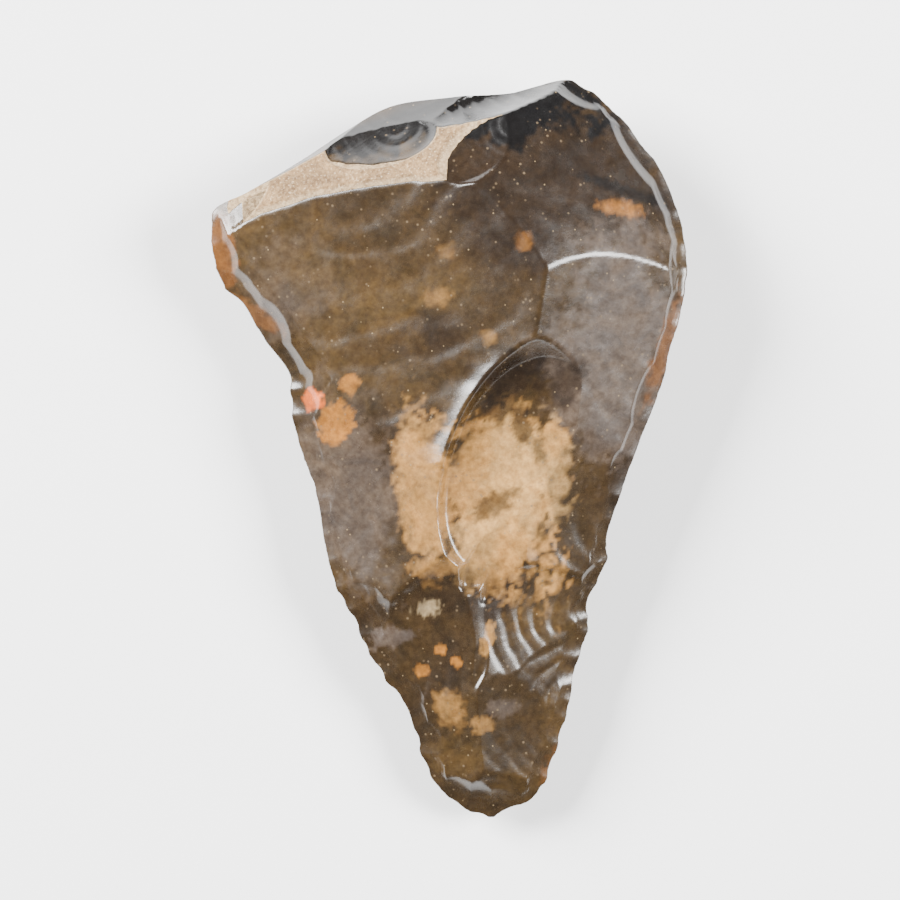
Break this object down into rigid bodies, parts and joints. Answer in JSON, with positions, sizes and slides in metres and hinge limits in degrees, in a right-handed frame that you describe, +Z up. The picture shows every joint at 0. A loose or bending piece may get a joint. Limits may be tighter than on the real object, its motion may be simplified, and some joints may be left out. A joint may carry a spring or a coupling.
{
  "type": "hand axe",
  "caption": "Pointed flaked stone hand axe with a thick butt, scarred faces, a chipped edge and a strip of rind left on the butt.",
  "frame": {"origin": "under the middle of the whole stone's box, on the surface that the stone lies on", "axes": "+Y from the tip to the butt, +X to the right of the upper face, +Z up out of the upper face"},
  "size_m": [0.0868, 0.1348, 0.032],
  "materials": {
    "flint": "polished, waxy dark brown flint with grey mottling and translucent amber edges",
    "cortex": "dull, gritty tan rind"
  },
  "bodies": {
    "root": {"flint_body": "flint", "cortex_remnant": "cortex"}
  },
  "joints": []
}
